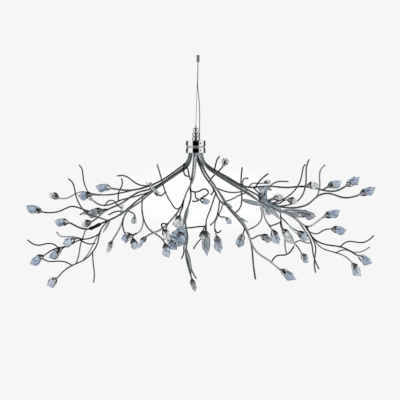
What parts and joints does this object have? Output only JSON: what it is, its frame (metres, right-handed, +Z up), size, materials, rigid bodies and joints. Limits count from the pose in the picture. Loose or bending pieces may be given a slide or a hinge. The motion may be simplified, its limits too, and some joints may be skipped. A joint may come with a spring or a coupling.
{
  "type": "pendant light",
  "caption": "Branching chrome pendant light: bent stems spread from a turned hub on one steel cable and carry faceted glass buds with capsule lamps.",
  "frame": {"origin": "mouth of the threaded hole on top of the ceiling coupler", "axes": "+Z up along the threaded hole, +X to the right along the widest spread of the branches, +Y to the back"},
  "size_m": [1.406, 0.6155, 0.9483],
  "materials": {
    "polished_chrome": "polished chrome plate on turned or drawn metal",
    "chrome_stem": "polished chrome plate on bent rod",
    "braided_steel": "stranded steel",
    "clear_sheath": "clear flexible sheath",
    "cut_glass": "faceted pale blue glass",
    "lamp_glass": "clear capsule lamp",
    "holder_metal": "dark chrome plate",
    "terminal_plastic": "moulded white plastic",
    "zinc_steel": "plated steel fastener"
  },
  "bodies": {
    "ceiling_fitting": {"ceiling_coupler": "polished_chrome", "coupler_collar": "polished_chrome"},
    "cable_ball": {"cable_ball_end": "zinc_steel"},
    "suspension": {"suspension_cable": "braided_steel", "supply_cable": "clear_sheath", "cable_nipple": "polished_chrome", "swivel_bead": "polished_chrome"},
    "luminaire": {"binding_wire": "chrome_stem", "centre_bud_glass": "cut_glass", "centre_bud_holders": "holder_metal", "centre_bud_lamps": "lamp_glass", "centre_stems": "chrome_stem", "centre_twigs": "chrome_stem", "front_bough_tubes": "chrome_stem", "hub_drum_lower": "polished_chrome", "hub_drum_upper": "polished_chrome", "hub_screws": "zinc_steel", "hub_spacer": "polished_chrome", "hub_tie_nut": "zinc_steel", "junction_sleeve": "holder_metal", "left_bough_tubes": "chrome_stem", "left_inner_bud_glass": "cut_glass", "left_inner_bud_holders": "holder_metal", "left_inner_bud_lamps": "lamp_glass", "left_inner_stems": "chrome_stem", "left_inner_twigs": "chrome_stem", "left_lower_bud_glass": "cut_glass", "left_lower_bud_holders": "holder_metal", "left_lower_bud_lamps": "lamp_glass", "left_lower_stems": "chrome_stem", "left_lower_twigs": "chrome_stem", "left_upper_bud_glass": "cut_glass", "left_upper_bud_holders": "holder_metal", "left_upper_bud_lamps": "lamp_glass", "left_upper_stems": "chrome_stem", "left_upper_twigs": "chrome_stem", "lower_bead": "polished_chrome", "middle_bead": "polished_chrome", "rear_bough_tubes": "chrome_stem", "right_bough_tubes": "chrome_stem", "right_inner_bud_glass": "cut_glass", "right_inner_bud_holders": "holder_metal", "right_inner_bud_lamps": "lamp_glass", "right_inner_stems": "chrome_stem", "right_lower_bud_glass": "cut_glass", "right_lower_bud_holders": "holder_metal", "right_lower_bud_lamps": "lamp_glass", "right_lower_stems": "chrome_stem", "right_lower_twigs": "chrome_stem", "right_upper_bud_glass": "cut_glass", "right_upper_bud_holders": "holder_metal", "right_upper_bud_lamps": "lamp_glass", "right_upper_stems": "chrome_stem", "supply_gland": "polished_chrome", "terminal_block": "terminal_plastic", "tie_rod": "zinc_steel"}
  },
  "joints": [
    {"name": "swing_sideways", "type": "hinge", "parent": "ceiling_fitting", "child": "cable_ball", "pos_m": [0, 0, -0.02], "axis": [0, 1, 0], "range_deg": [-8, 8]},
    {"name": "swing_fore_aft", "type": "hinge", "parent": "cable_ball", "child": "suspension", "pos_m": [0, 0, -0.02], "axis": [1, 0, 0], "range_deg": [-8, 8]},
    {"name": "hub_turn", "type": "hinge", "parent": "suspension", "child": "luminaire", "pos_m": [-0.009, 0, -0.31], "axis": [0, 0, 1], "range_deg": [-45, 45], "deforming": ["supply_cable"]}
  ]
}
